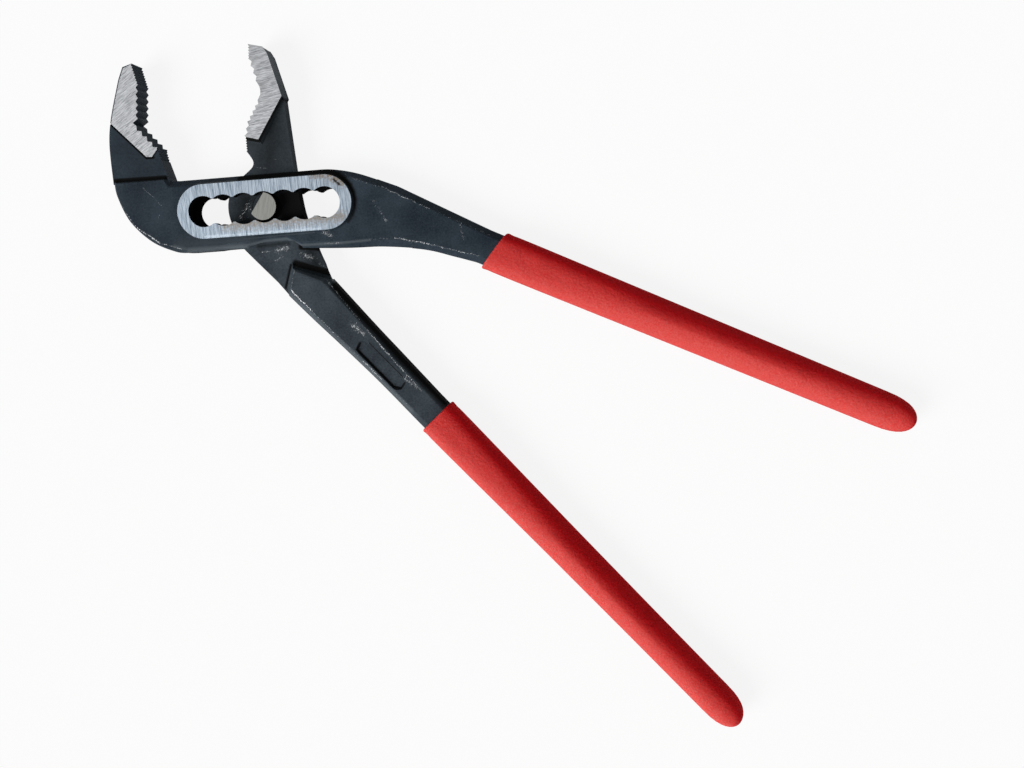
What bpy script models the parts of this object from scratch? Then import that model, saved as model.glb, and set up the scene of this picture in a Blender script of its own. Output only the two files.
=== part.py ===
"""Water pump pliers with a box joint, about 300 mm long, lying flat.

X runs along the adjusting slot from the jaws to the handles, Y points from the slot to the jaw tips
and Z is the pivot axis. The origin is on that axis, on the plane that the tool lies on.
"""
import math

import bmesh
import bpy
from mathutils import Matrix, Vector

MM = 0.001

# Play between pieces
PIECE_GAP = 0.3 * MM

# Adjusting slot and the ground pad around it
NOTCH_COUNT = 7
NOTCH_PITCH = 7.25 * MM
NOTCH_RADIUS = 5.4 * MM
CUSP_OPENING = 8.6 * MM
PAD_WALL = 4.0 * MM
PAD_THICKNESS = 12.0 * MM

# Bar stock of both levers
BAR_THICKNESS = 9.4 * MM
BAR_CHAMFER = 2.2 * MM
EDGE_BREAK = 0.5 * MM

# Box of the slotted lever
BOX_MARGIN_JAW_SIDE = 2.2 * MM
BOX_MARGIN_HANDLE_SIDE = 4.4 * MM
LOWER_RELIEF_DEPTH = 1.0 * MM
WINDOW_PLAY = 0.9 * MM
CLOSING_SWING = 18.0
OPENING_SWING = 35.0

# Jaws
JAW_THICKNESS = 8.4 * MM
JAW_FLANK_DEPTH = 0.6 * MM
FINE_TOOTH_DEPTH = 0.4 * MM
COARSE_TOOTH_DEPTH = 0.8 * MM
STAIR_TOOTH_DEPTH = 1.1 * MM

# Inner lever
NECK_THICKNESS = 4.6 * MM
HUB_RADIUS = 13.9 * MM
RECESS_LENGTH = 22.6 * MM
RECESS_WIDTH = 4.7 * MM
RECESS_DEPTH = 0.7 * MM

# Pivot pin
PIN_RADIUS = 5.0 * MM
PIN_FLAT_OFFSET = 2.2 * MM
PIN_FLAT_ANGLE = math.radians(144.0)

# Dipped grips
GRIP_LENGTH = 156.0 * MM
GRIP_WIDTH_MOUTH = 14.7 * MM
GRIP_WIDTH_TIP = 12.7 * MM
GRIP_TIP_LENGTH = 13.0 * MM
GRIP_COAT = 1.0 * MM
GRIP_ROUNDING = 3.2 * MM
GRIP_LIP_ROUNDING = 0.4 * MM
GRIP_TIP_COAT = 6.0 * MM
TANG_LEAD = 4.0 * MM
SLOTTED_GRIP_ANGLE = math.radians(-26.1)
SLOTTED_MOUTH_SLANT = math.radians(15.0)
INNER_GRIP_ANGLE = math.radians(-49.4)
INNER_MOUTH_SLANT = math.radians(0.0)

# Sizes that follow from the ones above
MID_HEIGHT = PAD_THICKNESS / 2
SLOT_REACH = (NOTCH_COUNT - 1) / 2 * NOTCH_PITCH
PAD_RADIUS = NOTCH_RADIUS + PAD_WALL
BOX_TOP = PAD_RADIUS + BOX_MARGIN_JAW_SIDE
BOX_BOTTOM = -(PAD_RADIUS + BOX_MARGIN_HANDLE_SIDE)
WINDOW_HEIGHT = NECK_THICKNESS + 2 * PIECE_GAP
GRIP_SHELL = GRIP_COAT + PIECE_GAP
GRIP_THICKNESS = BAR_THICKNESS + 2 * GRIP_SHELL
CUT_OVERRUN = 5.0 * MM
CURVE_STEPS = 4
ROUND_STEPS = 24


def clear_scene():
    for thing in list(bpy.data.objects):
        bpy.data.objects.remove(thing)


def new_collection(name):
    group = bpy.data.collections.new(name)
    bpy.context.scene.collection.children.link(group)
    return group


def new_material(name, colour, roughness, metallic):
    material = bpy.data.materials.new(name)
    material.use_nodes = True
    shader = material.node_tree.nodes["Principled BSDF"]
    shader.inputs["Base Color"].default_value = (*colour, 1.0)
    shader.inputs["Roughness"].default_value = roughness
    shader.inputs["Metallic"].default_value = metallic
    return material


def mm(x, y, slope=0.0):
    """A point of an outline in millimetres; slope is the width of the sloped rim there, in metres."""
    return Vector((x * MM, y * MM, slope))


def jaw_end(x, y, slope=0.0):
    """An outline point counted from the notch nearest the jaws."""
    return mm(x, y, slope) - Vector((SLOT_REACH, 0.0, 0.0))


def handle_end(x, y, slope=0.0):
    """An outline point counted from the notch nearest the handles."""
    return mm(x, y, slope) + Vector((SLOT_REACH, 0.0, 0.0))


def arc(centre, radius, start, end, steps):
    """Points on a circle between two angles in degrees."""
    points = []
    for step in range(steps + 1):
        angle = math.radians(start + (end - start) * step / steps)
        spoke = radius * Vector((math.cos(angle), math.sin(angle), 0.0))
        points.append(Vector((*centre[:2], 0.0)) + spoke)
    return points


def swing(points, degrees, slide):
    """Points of the inner lever after it has turned about the pin and slid along the slot."""
    turn = Matrix.Rotation(math.radians(degrees), 3, "Z")
    return [turn @ point + Vector((slide, 0.0, 0.0)) for point in points]


def smooth(points, steps=CURVE_STEPS):
    """A smooth open curve through the given points."""
    padded = [points[0], *points, points[-1]]
    result = [points[0]]
    for before, start, end, after in zip(padded, padded[1:], padded[2:], padded[3:]):
        for step in range(1, steps + 1):
            t = step / steps
            pull_start = (end - before) / 2
            pull_end = (after - start) / 2
            result.append(
                start * (2 * t**3 - 3 * t**2 + 1)
                + pull_start * (t**3 - 2 * t**2 + t)
                + end * (3 * t**2 - 2 * t**3)
                + pull_end * (t**3 - t**2)
            )
    return result


def teeth(first_tip, last_tip, count, depth):
    """A row of teeth from tip to tip, with its roots on the right-hand side of the travel."""
    run = last_tip - first_tip
    inward = Vector((run.y, -run.x, 0.0)).normalized() * depth
    points = [first_tip]
    for tooth in range(count):
        points.append(first_tip + run * (tooth + 0.5) / count + inward)
        points.append(first_tip + run * (tooth + 1) / count)
    return points


def plate(name, outline, low, high, collection):
    """A flat outline given a thickness, as a closed mesh."""
    curve = bpy.data.curves.new(name, "CURVE")
    curve.dimensions = "2D"
    curve.fill_mode = "BOTH"
    curve.extrude = (high - low) / 2
    spline = curve.splines.new("POLY")
    spline.points.add(len(outline) - 1)
    for point, place in zip(spline.points, outline):
        point.co = (place.x, place.y, 0.0, 1.0)
    spline.use_cyclic_u = True
    source = bpy.data.objects.new(name, curve)
    source.location.z = (low + high) / 2
    bpy.context.scene.collection.objects.link(source)
    view = bpy.context.evaluated_depsgraph_get()
    mesh = bpy.data.meshes.new_from_object(source.evaluated_get(view))
    mesh.name = name
    mesh.transform(source.matrix_world)
    bpy.data.objects.remove(source)
    weld = bmesh.new()
    weld.from_mesh(mesh)
    bmesh.ops.remove_doubles(weld, verts=weld.verts, dist=1e-7)
    bmesh.ops.dissolve_limit(
        weld, angle_limit=math.radians(0.05), verts=weld.verts, edges=weld.edges, delimit={"NORMAL"}
    )
    bmesh.ops.recalc_face_normals(weld, faces=weld.faces)
    weld.to_mesh(mesh)
    weld.free()
    piece = bpy.data.objects.new(name, mesh)
    collection.objects.link(piece)
    return piece


def sloped_plate(name, outline, low, high, collection):
    """A plate whose rims slope at 45 degrees, by the width that each point of the outline carries.

    The outline runs clockwise, so the metal is on its right-hand side.
    """
    inner = []
    for before, point, after in zip([outline[-1], *outline], outline, [*outline[1:], outline[0]]):
        come = (before - point).to_2d().normalized()
        leave = (point - after).to_2d().normalized()
        across = (come.orthogonal() + leave.orthogonal()).normalized()
        inner.append(point.to_2d() + across * point.z / max(across.dot(leave.orthogonal()), 0.5))
    levels = [
        [Vector((*spot, low)) for spot in inner],
        [Vector((point.x, point.y, low + point.z)) for point in outline],
        [Vector((point.x, point.y, high - point.z)) for point in outline],
        [Vector((*spot, high)) for spot in inner],
    ]
    loft = bmesh.new()
    rings = [[loft.verts.new(place) for place in level] for level in levels]
    for lower, upper in zip(rings, rings[1:]):
        for index in range(len(outline)):
            follow = (index + 1) % len(outline)
            loft.faces.new((lower[index], lower[follow], upper[follow], upper[index]))
    loft.faces.new(rings[0])
    loft.faces.new(rings[-1])
    bmesh.ops.recalc_face_normals(loft, faces=loft.faces)
    mesh = bpy.data.meshes.new(name)
    loft.to_mesh(mesh)
    loft.free()
    piece = bpy.data.objects.new(name, mesh)
    collection.objects.link(piece)
    return piece


def round_rims(piece, width, share, segments):
    """Round the rims of a plate's two faces, by a share of the width that may change along them."""
    mesh = piece.data
    top = max(vertex.co.z for vertex in mesh.vertices)
    bottom = min(vertex.co.z for vertex in mesh.vertices)
    weight = mesh.attributes.new("bevel_weight_edge", "FLOAT", "EDGE")
    for edge in mesh.edges:
        ends = [mesh.vertices[index].co for index in edge.vertices]
        level = [co.z for co in ends]
        if min(level) > top - MM / 100 or max(level) < bottom + MM / 100:
            weight.data[edge.index].value = share((ends[0] + ends[1]) / 2)
    bevel = piece.modifiers.new("rims", "BEVEL")
    bevel.width = width
    bevel.segments = segments
    bevel.limit_method = "WEIGHT"
    bevel.use_clamp_overlap = False


def combine(piece, tool, operation):
    tool.hide_render = True
    tool.display_type = "WIRE"
    change = piece.modifiers.new(f"{operation.lower()} {tool.name}", "BOOLEAN")
    change.operation = operation
    change.object = tool
    change.solver = "EXACT"


def cut_both_faces(piece, name, outline, half_height, cutters):
    """Take the metal off a piece outside two planes that lie half_height from its middle."""
    for side, low, high in (
        ("front", MID_HEIGHT + half_height, PAD_THICKNESS + CUT_OVERRUN),
        ("back", -CUT_OVERRUN, MID_HEIGHT - half_height),
    ):
        combine(piece, plate(f"{name}_{side}", outline, low, high, cutters), "DIFFERENCE")


def cut_through(piece, name, outline, cutters):
    """Take the outline out of a piece through its whole thickness."""
    tool = plate(name, outline, -CUT_OVERRUN, PAD_THICKNESS + CUT_OVERRUN, cutters)
    combine(piece, tool, "DIFFERENCE")


def about_middle(thickness):
    return MID_HEIGHT - thickness / 2, MID_HEIGHT + thickness / 2


class Handle:
    """The straight axis of a handle, counted from the middle of its grip's mouth."""

    straight = GRIP_LENGTH - GRIP_TIP_LENGTH

    def __init__(self, mouth, angle, slant):
        self.mouth = mouth
        self.angle = angle
        self.slant = slant
        self.axis = Vector((math.cos(angle), math.sin(angle), 0.0))
        self.side = Vector((-self.axis.y, self.axis.x, 0.0))

    def at(self, along, across, slope=0.0):
        return self.mouth + self.axis * along + self.side * across + Vector((0.0, 0.0, slope))

    def half_width(self, along, inset):
        share = min(max(along / self.straight, 0.0), 1.0)
        return (GRIP_WIDTH_MOUTH + (GRIP_WIDTH_TIP - GRIP_WIDTH_MOUTH) * share) / 2 - inset

    def outline(self, start, inset, tip_inset, slope=0.0):
        """The handle from its left side at start, round its tip, to its right side."""
        half_tip = self.half_width(self.straight, inset)
        tip_reach = GRIP_TIP_LENGTH - tip_inset
        points = [self.at(start, self.half_width(start, inset), slope)]
        for step in range(ROUND_STEPS // 2 + 1):
            turn = math.pi / 2 - math.pi * step / (ROUND_STEPS // 2)
            along = self.straight + tip_reach * math.cos(turn)
            points.append(self.at(along, half_tip * math.sin(turn), slope))
        points.append(self.at(start, -self.half_width(start, inset), slope))
        return points


SLOTTED_HANDLE = Handle(handle_end(57.1, -20.7), SLOTTED_GRIP_ANGLE, SLOTTED_MOUTH_SLANT)
INNER_HANDLE = Handle(mm(54.2, -77.5), INNER_GRIP_ANGLE, INNER_MOUTH_SLANT)


def notched_slot():
    """The slot: round notches along both sides, with blunt cusps between them."""
    bite = math.degrees(math.asin(CUSP_OPENING / 2 / NOTCH_RADIUS))
    points = []
    for notch in range(NOTCH_COUNT):
        start = 180.0 if notch == 0 else 180.0 + bite
        end = 360.0 if notch == NOTCH_COUNT - 1 else 360.0 - bite
        points += arc((notch * NOTCH_PITCH - SLOT_REACH, 0.0), NOTCH_RADIUS, start, end, 8)
    other_side = [-point for point in points]
    return points[:-1] + other_side[:-1]


def box_and_arm_outline():
    """The slotted lever's bar, clockwise from its heel, which has a narrower rim than the rest."""
    heel = smooth([
        Vector((-SLOT_REACH - 7.6 * MM, BOX_BOTTOM, EDGE_BREAK)),
        jaw_end(-12.2, -13.1, EDGE_BREAK),
        jaw_end(-20.5, -9.0, EDGE_BREAK),
        jaw_end(-27.7, -1.5, EDGE_BREAK),
        jaw_end(-31.4, 7.4, EDGE_BREAK),
        jaw_end(-32.3, 13.2, EDGE_BREAK),
    ])
    throat = [jaw_end(-13.3, 13.2, EDGE_BREAK), Vector((-SLOT_REACH - 11.5 * MM, BOX_TOP, BAR_CHAMFER))]
    shoulder = smooth([
        Vector((SLOT_REACH - 4.0 * MM, BOX_TOP, BAR_CHAMFER)),
        handle_end(3.0, 11.3, BAR_CHAMFER),
        handle_end(12.2, 9.1, BAR_CHAMFER),
        handle_end(24.9, 3.9, BAR_CHAMFER),
    ])
    tang = SLOTTED_HANDLE.outline(-TANG_LEAD, GRIP_SHELL, GRIP_TIP_COAT, BAR_CHAMFER)
    underside = smooth([
        tang.pop(),
        handle_end(43.4, -21.9, BAR_CHAMFER),
        handle_end(33.0, -18.7, BAR_CHAMFER),
        handle_end(18.1, -16.6, BAR_CHAMFER),
        handle_end(3.2, -16.0, BAR_CHAMFER),
        Vector((-SLOT_REACH + 12.0 * MM, BOX_BOTTOM, BAR_CHAMFER)),
        Vector((-SLOT_REACH + 2.0 * MM, BOX_BOTTOM, EDGE_BREAK)),
    ])
    return heel + throat + shoulder + tang + underside


def slotted_jaw_teeth():
    fine_end = jaw_end(-19.4, 45.4)
    coarse_end = jaw_end(-20.8, 33.8)
    stair_start = jaw_end(-21.6, 31.4)
    stair_end = jaw_end(-14.9, 23.5)
    lower_end = jaw_end(-14.1, 19.0)
    return (
        teeth(jaw_end(-20.9, 52.4), fine_end, 8, FINE_TOOTH_DEPTH)[:-1]
        + teeth(fine_end, coarse_end, 5, COARSE_TOOTH_DEPTH)
        + [jaw_end(-22.8, 32.5)]
        + teeth(stair_start, stair_end, 4, STAIR_TOOTH_DEPTH)[:-1]
        + teeth(stair_end, lower_end, 5, FINE_TOOTH_DEPTH)
        + [jaw_end(-12.2, 12.2)]
    )


def neck_jaw_side():
    """The inner lever's thin part from its jaw down to its arm, on the side of the other jaw."""
    return [
        *teeth(mm(-5.1, 24.2), mm(-5.2, 19.8), 5, -FINE_TOOTH_DEPTH),
        *smooth([mm(-4.2, 18.3), mm(-3.2, 16.1), mm(-3.9, 14.0), mm(-7.4, 11.3)]),
        *arc((0.0, 0.0), HUB_RADIUS, 142, 200, 6),
        *smooth([mm(-11.6, -10.8), mm(-9.8, -13.6), mm(1.6, -26.4)]),
    ]


def neck_handle_side():
    """The same thin part from its arm up to its jaw, on the side of the handles."""
    return smooth([
        mm(18.4, -20.8),
        mm(16.6, -16.1),
        mm(12.9, -4.6),
        mm(11.6, 4.2),
        mm(10.8, 12.3),
        mm(9.9, 33.0),
    ])


def window_outline():
    """The window between the cheeks, as wide as the neck sweeps at both ends of the slot."""
    ceiling = BOX_TOP + CUT_OVERRUN
    floor = BOX_BOTTOM - 2 * CUT_OVERRUN
    shift = SLOT_REACH + WINDOW_PLAY
    left_closed = swing(neck_jaw_side(), CLOSING_SWING, -shift)
    left_opened = swing(neck_jaw_side(), -OPENING_SWING, -shift)
    right_closed = swing(neck_handle_side(), CLOSING_SWING, shift)
    right_opened = swing(neck_handle_side(), -OPENING_SWING, shift)
    left = [point for point in left_closed if 0.0 <= point.y <= BOX_TOP + MM]
    left += [point for point in left_opened if floor < point.y < 0.0]
    right = [point for point in right_closed if point.y < 0.0]
    right += [point for point in right_opened if 0.0 <= point.y < ceiling]
    bottom = [Vector((left[-1].x, floor, 0.0)), Vector((right[0].x + 2 * CUT_OVERRUN, floor, 0.0))]
    top = [Vector((right[-1].x, ceiling, 0.0)), Vector((left[0].x, ceiling, 0.0))]
    return left + bottom + right + top


def ground_pad_outline():
    jaw_round = arc((-SLOT_REACH, 0.0), PAD_RADIUS, 90, 270, ROUND_STEPS // 2)
    handle_round = arc((SLOT_REACH, 0.0), PAD_RADIUS, -90, 90, ROUND_STEPS // 2)
    return jaw_round + handle_round


def build_slotted_lever(parts, cutters, material):
    lever = sloped_plate("slotted_lever", box_and_arm_outline(), *about_middle(BAR_THICKNESS), parts)
    lever.data.materials.append(material)

    jaw = [
        *smooth([jaw_end(-32.6, 14.0), jaw_end(-32.5, 25.5), jaw_end(-30.8, 34.9), jaw_end(-26.6, 47.6)]),
        jaw_end(-24.6, 51.8),
        jaw_end(-20.9, 52.6),
        jaw_end(-12.0, 52.6),
        jaw_end(-12.0, 9.0),
        jaw_end(-28.0, 9.0),
    ]
    combine(lever, plate("jaw_blank", jaw, *about_middle(JAW_THICKNESS), cutters), "UNION")
    combine(lever, plate("ground_pad", ground_pad_outline(), 0.0, PAD_THICKNESS, cutters), "UNION")

    flank = [
        jaw_end(-36.0, 38.5),
        jaw_end(-19.2, 20.5),
        jaw_end(-17.2, 20.4),
        jaw_end(-15.1, 22.8),
        jaw_end(-5.0, 22.8),
        jaw_end(-5.0, 13.4),
        jaw_end(-36.0, 13.4),
    ]
    cut_both_faces(lever, "jaw_flank", flank, JAW_THICKNESS / 2 - JAW_FLANK_DEPTH, cutters)

    mouth = slotted_jaw_teeth()
    mouth += [jaw_end(5.0, 12.2), jaw_end(5.0, 60.0), jaw_end(-20.9, 60.0)]
    cut_through(lever, "slotted_jaw_mouth", mouth, cutters)
    combine(lever, plate("window", window_outline(), *about_middle(WINDOW_HEIGHT), cutters), "DIFFERENCE")
    cut_through(lever, "adjusting_slot", notched_slot(), cutters)

    relief = [
        mm(-11.0, -12.0),
        mm(8.4, -12.0),
        mm(11.4, -14.3),
        mm(11.4, -24.0),
        mm(-11.0, -24.0),
    ]
    cut_both_faces(lever, "lower_relief", relief, BAR_THICKNESS / 2 - LOWER_RELIEF_DEPTH, cutters)
    return lever


def inner_jaw_teeth():
    fine_end = mm(-0.9, 50.6)
    upper_end = mm(1.0, 43.0)
    lower_start = mm(1.0, 36.4)
    lower_middle = mm(-3.4, 29.6)
    lower_end = mm(-4.8, 24.9)
    return (
        teeth(lower_end, lower_middle, 2, COARSE_TOOTH_DEPTH)[:-1]
        + teeth(lower_middle, lower_start, 4, COARSE_TOOTH_DEPTH)
        + [mm(2.1, 38.2), mm(2.3, 39.6), mm(2.0, 41.2)]
        + teeth(upper_end, fine_end, 3, COARSE_TOOTH_DEPTH)[:-1]
        + teeth(fine_end, mm(-0.5, 55.1), 5, FINE_TOOTH_DEPTH)
    )


def inner_arm_outline():
    """The inner lever's bar, clockwise from the corner of its shoulder."""
    tang_half = INNER_HANDLE.half_width(0.0, GRIP_SHELL)
    outer_edge = smooth([
        mm(21.4, -27.6, BAR_CHAMFER),
        mm(34.2, -43.7, BAR_CHAMFER),
        mm(43.9, -55.5, BAR_CHAMFER),
        INNER_HANDLE.at(-TANG_LEAD, tang_half, BAR_CHAMFER),
    ])
    tang = INNER_HANDLE.outline(0.0, GRIP_SHELL, GRIP_TIP_COAT, BAR_CHAMFER)
    inner_edge = smooth([
        INNER_HANDLE.at(-TANG_LEAD, -tang_half, BAR_CHAMFER),
        mm(34.4, -63.6, BAR_CHAMFER),
        mm(22.0, -50.0, BAR_CHAMFER),
        mm(13.3, -40.7, BAR_CHAMFER),
        mm(4.9, -31.4, BAR_CHAMFER),
    ])
    shoulder = [mm(4.4, -28.4, BAR_CHAMFER), mm(7.2, -20.0, BAR_CHAMFER), mm(19.3, -25.3, BAR_CHAMFER)]
    return outer_edge + tang + inner_edge + shoulder


def arm_recess_outline():
    near = INNER_HANDLE.at(-16.5 * MM, -0.4 * MM)
    far = near - INNER_HANDLE.axis * (RECESS_LENGTH - RECESS_WIDTH)
    heading = math.degrees(INNER_HANDLE.angle)
    near_round = arc(near, RECESS_WIDTH / 2, heading - 90, heading + 90, 8)
    far_round = arc(far, RECESS_WIDTH / 2, heading + 90, heading + 270, 8)
    return near_round + far_round


def build_inner_lever(parts, cutters, material):
    lever = sloped_plate("inner_lever", inner_arm_outline(), *about_middle(BAR_THICKNESS), parts)
    lever.data.materials.append(material)

    under_arm = [mm(5.5, -31.5), mm(14.0, -32.0), mm(19.0, -28.0)]
    under_jaw = [mm(5.0, 36.0), mm(-1.0, 30.0), mm(-3.0, 27.0)]
    neck = neck_jaw_side() + under_arm + neck_handle_side() + under_jaw
    combine(lever, plate("neck", neck, *about_middle(NECK_THICKNESS), cutters), "UNION")

    jaw = [
        mm(-6.6, 27.4),
        mm(-4.5, 24.6),
        mm(-0.2, 23.4),
        mm(9.4, 37.2),
        mm(5.8, 51.5),
        mm(4.4, 54.0),
        mm(-0.5, 55.2),
        mm(-6.6, 55.2),
    ]
    combine(lever, plate("inner_jaw_blank", jaw, *about_middle(JAW_THICKNESS), cutters), "UNION")

    mouth = inner_jaw_teeth()
    mouth += [mm(-0.5, 60.0), mm(-20.0, 60.0), mm(-20.0, 24.9)]
    cut_through(lever, "inner_jaw_mouth", mouth, cutters)

    bore = arc((0.0, 0.0), PIN_RADIUS + PIECE_GAP, 0, 360, 2 * ROUND_STEPS)[:-1]
    cut_through(lever, "pin_bore", bore, cutters)
    cut_both_faces(lever, "arm_recess", arm_recess_outline(), BAR_THICKNESS / 2 - RECESS_DEPTH, cutters)
    return lever


def build_pivot_pin(parts, cutters, material):
    bpy.ops.mesh.primitive_cylinder_add(vertices=2 * ROUND_STEPS, radius=PIN_RADIUS, depth=PAD_THICKNESS)
    pin = bpy.context.active_object
    pin.name = "pivot_pin"
    pin.data.name = "pivot_pin"
    pin.data.transform(Matrix.Translation((0.0, 0.0, MID_HEIGHT)))
    for group in list(pin.users_collection):
        group.objects.unlink(pin)
    parts.objects.link(pin)
    pin.data.materials.append(material)
    out = Vector((math.cos(PIN_FLAT_ANGLE), math.sin(PIN_FLAT_ANGLE), 0.0))
    along = Vector((-out.y, out.x, 0.0))
    wide = 2 * PIN_RADIUS
    flat = [
        out * PIN_FLAT_OFFSET - along * wide,
        out * wide - along * wide,
        out * wide + along * wide,
        out * PIN_FLAT_OFFSET + along * wide,
    ]
    cut_both_faces(pin, "pin_flat", flat, NECK_THICKNESS / 2, cutters)
    pin.data.shade_smooth()
    pin.data.set_sharp_from_angle(angle=math.radians(30.0))
    return pin


def build_grip(name, handle, parts, cutters, material):
    half = GRIP_WIDTH_MOUTH / 2
    lead = half * math.tan(handle.slant)
    shell = handle.outline(lead, 0.0, 0.0)
    shell[0] = handle.at(lead, half)
    shell[-1] = handle.at(-lead, -half)
    grip = plate(name, shell, *about_middle(GRIP_THICKNESS), parts)
    grip.data.materials.append(material)
    mouth_zone = GRIP_WIDTH_MOUTH / 4

    def share(spot):
        along = (spot - handle.mouth).dot(handle.axis)
        return GRIP_LIP_ROUNDING / GRIP_ROUNDING if along < mouth_zone else 1.0

    round_rims(grip, GRIP_ROUNDING, share, 3)
    grip.data.shade_smooth()
    grip.data.set_sharp_from_angle(angle=math.radians(40.0))
    cavity = handle.outline(-2 * mouth_zone, GRIP_COAT, GRIP_TIP_COAT - PIECE_GAP, BAR_CHAMFER)
    hollow = sloped_plate(f"{name}_hollow", cavity, *about_middle(BAR_THICKNESS + 2 * PIECE_GAP), cutters)
    combine(grip, hollow, "DIFFERENCE")
    return grip


def main():
    clear_scene()
    parts = new_collection("water_pump_pliers")
    cutters = new_collection("cutters")
    cutters.hide_render = True

    forged = new_material("black_forged_steel", (0.03, 0.04, 0.05), 0.55, 0.6)
    ground = new_material("ground_steel", (0.55, 0.55, 0.53), 0.35, 1.0)
    vinyl = new_material("red_dipped_vinyl", (0.62, 0.05, 0.05), 0.6, 0.0)

    slotted = build_slotted_lever(parts, cutters, forged)
    inner = build_inner_lever(parts, cutters, forged)
    pin = build_pivot_pin(parts, cutters, ground)
    slotted_grip = build_grip("slotted_lever_grip", SLOTTED_HANDLE, parts, cutters, vinyl)
    inner_grip = build_grip("inner_lever_grip", INNER_HANDLE, parts, cutters, vinyl)

    slotted_grip.parent = slotted
    inner_grip.parent = inner
    pin.parent = slotted
    inner.parent = pin


main()
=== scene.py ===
import math

import bmesh
import bpy
from mathutils import Matrix, Vector


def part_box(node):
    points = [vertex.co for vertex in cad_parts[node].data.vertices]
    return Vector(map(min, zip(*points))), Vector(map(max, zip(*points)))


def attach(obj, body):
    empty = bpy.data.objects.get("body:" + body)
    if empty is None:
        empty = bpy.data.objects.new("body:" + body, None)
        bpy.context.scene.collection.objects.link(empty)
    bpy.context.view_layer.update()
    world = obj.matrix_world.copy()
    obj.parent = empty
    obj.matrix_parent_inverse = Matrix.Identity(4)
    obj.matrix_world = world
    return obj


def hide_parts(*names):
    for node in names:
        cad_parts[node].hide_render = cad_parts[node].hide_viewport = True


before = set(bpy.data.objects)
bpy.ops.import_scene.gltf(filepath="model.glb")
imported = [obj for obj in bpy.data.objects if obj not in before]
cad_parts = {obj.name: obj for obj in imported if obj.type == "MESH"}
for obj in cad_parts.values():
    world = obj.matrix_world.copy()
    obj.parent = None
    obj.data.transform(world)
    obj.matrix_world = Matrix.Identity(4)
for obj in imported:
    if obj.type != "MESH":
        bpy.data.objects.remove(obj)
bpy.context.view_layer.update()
MM = 0.001


# Slotted lever
# One steel drop forging: the left jaw, the box with the adjusting slot, and the upper arm.
# Its rims are softened by the die, the pad around the slot and the jaw's sides are ground bright,
# and the rest keeps a thin black finish that is worn to bare steel along the edges.
NOTCHES = 7
NOTCH_PITCH = 7.25
NOTCH_RADIUS = 5.4
CUSP_OPENING = 8.6
SLOT_REACH = (NOTCHES - 1) / 2 * NOTCH_PITCH
PAD_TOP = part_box("pivot_pin")[1].z / MM
MIDDLE = PAD_TOP / 2
PAD_RADIUS = 9.4
BAR_THICKNESS = 9.4
JAW_THICKNESS = 8.4
NECK_THICKNESS = 4.6
RUNNING_GAP = 0.3
BOX_TOP = 11.6
BOX_BOTTOM = -13.8
HUB_RADIUS = 13.9
WIDE_RIM = 2.2
HEEL_RIM = 0.6
STEP_RIM = 1.1
SHARP_RIM = 0.12
FINE_TOOTH = 0.4
COARSE_TOOTH = 0.8
STAIR_TOOTH = 1.1
OVERRUN = 5.0
OVERLAP = 0.1
CLOSING_SWING = 18.0
OPENING_SWING = 35.0
WINDOW_PLAY = 0.9
CURVE_STEPS = 8
PAD_STEPS = 32
NOTCH_STEPS = 14
HUB_STEPS = 14

# Each step of a softened chamfer: how far in from the wall and below the face, in widths of the rim
RIM_STEPS = ((0.0, 1.15), (0.04, 0.98), (0.15, 0.83), (0.83, 0.15), (0.98, 0.04), (1.15, 0.0))
SHARPEST_MITRE = 0.5


def spot(x, y, rim=SHARP_RIM):
    """A point of an outline in millimetres, with the width of the chamfer there."""
    return Vector((x, y, rim))


def jaw_end(x, y, rim=SHARP_RIM):
    """A point counted from the notch nearest the jaws."""
    return spot(x - SLOT_REACH, y, rim)


def arm_end(x, y, rim=SHARP_RIM):
    """A point counted from the notch nearest the handles."""
    return spot(x + SLOT_REACH, y, rim)


def arc(centre, radius, start, end, steps, rim=SHARP_RIM):
    """Points on a circle between two angles in degrees."""
    points = []
    for step in range(steps + 1):
        angle = math.radians(start + (end - start) * step / steps)
        x = centre.x + radius * math.cos(angle)
        y = centre.y + radius * math.sin(angle)
        points.append(spot(x, y, rim))
    return points


def direction(degrees):
    """The unit vector at an angle in plan."""
    return Vector((math.cos(math.radians(degrees)), math.sin(math.radians(degrees)), 0.0))


def smooth(points):
    """A smooth open curve through the given points."""
    padded = [points[0], *points, points[-1]]
    curve = [points[0]]
    for before, start, end, after in zip(padded, padded[1:], padded[2:], padded[3:]):
        for step in range(1, CURVE_STEPS + 1):
            t = step / CURVE_STEPS
            curve.append(
                start * (2 * t**3 - 3 * t**2 + 1)
                + (end - before) / 2 * (t**3 - 2 * t**2 + t)
                + end * (3 * t**2 - 2 * t**3)
                + (after - start) / 2 * (t**3 - t**2)
            )
    return curve


def teeth(first_tip, last_tip, count, depth):
    """A row of teeth from tip to tip, with its roots on the right-hand side of the travel."""
    run = last_tip - first_tip
    inward = Vector((run.y, -run.x, 0.0)).normalized() * depth
    points = [first_tip]
    for tooth in range(count):
        points.append(first_tip + run * (tooth + 0.5) / count + inward)
        points.append(first_tip + run * (tooth + 1) / count)
    return points


def swing(points, degrees, slide):
    """Points of the inner lever after it has turned about the pin and slid along the slot."""
    turn = Matrix.Rotation(math.radians(degrees), 3, "Z")
    return [turn @ point + Vector((slide, 0.0, 0.0)) for point in points]


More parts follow.
